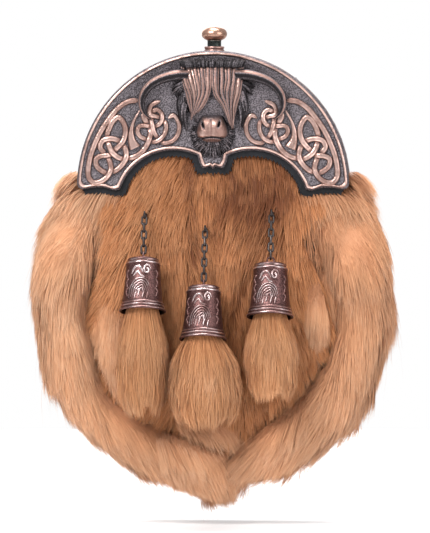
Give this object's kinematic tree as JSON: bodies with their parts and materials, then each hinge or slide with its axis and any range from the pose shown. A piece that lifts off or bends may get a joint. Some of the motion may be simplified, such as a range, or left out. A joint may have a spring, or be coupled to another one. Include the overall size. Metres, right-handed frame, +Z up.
{
  "type": "sporran pouch",
  "caption": "Full-dress sporran: a fur-covered leather pouch under a cast arched cantle, with a clasp knob and hanging fur tassels in metal cups.",
  "frame": {"origin": "hang point on the back panel's outer face, midway between the strap loops", "axes": "+Z up, +Y out of the back towards the wearer, +X to the right in the front view"},
  "size_m": [0.202, 0.0792, 0.2653],
  "materials": {
    "cantle_copper": "antiqued copper",
    "frame_metal": "antiqued copper, plain",
    "cup_metal": "antiqued, dark in the hollows",
    "chain_steel": "dark antique",
    "pinked_leather": "black, pinked edge",
    "pouch_leather": "black grained",
    "fur_middle": "short fox fur",
    "fur_roll": "long fox fur",
    "plume_fur": "long straight fur"
  },
  "bodies": {
    "root": {"cantle": "cantle_copper", "frame_band": "frame_metal", "pinked_backing": "pinked_leather", "front_panel": "pouch_leather", "gusset": "pouch_leather", "back_panel": "pouch_leather", "fur_front": "fur_middle", "fur_side_left": "fur_roll", "fur_side_right": "fur_roll", "chain_eye_left": "chain_steel", "chain_left_1": "chain_steel", "chain_left_2": "chain_steel", "chain_left_3": "chain_steel", "chain_left_4": "chain_steel", "chain_left_5": "chain_steel", "tassel_cup_left": "cup_metal", "tassel_plume_left": "plume_fur", "chain_eye_middle": "chain_steel", "chain_middle_1": "chain_steel", "chain_middle_2": "chain_steel", "chain_middle_3": "chain_steel", "chain_middle_4": "chain_steel", "chain_middle_5": "chain_steel", "chain_middle_6": "chain_steel", "chain_middle_7": "chain_steel", "tassel_cup_middle": "cup_metal", "tassel_plume_middle": "plume_fur", "chain_eye_right": "chain_steel", "chain_right_1": "chain_steel", "chain_right_2": "chain_steel", "chain_right_3": "chain_steel", "chain_right_4": "chain_steel", "chain_right_5": "chain_steel", "chain_right_6": "chain_steel", "tassel_cup_right": "cup_metal", "tassel_plume_right": "plume_fur", "strap_loop_left": "pouch_leather", "strap_loop_right": "pouch_leather"},
    "knob": {"knob": "cantle_copper"}
  },
  "joints": [
    {"name": "knob_press", "type": "slide", "parent": "root", "child": "knob", "axis": [0, 0, -1], "range_m": [0, 0.0025], "stiffness_N_per_m": 1200}
  ]
}
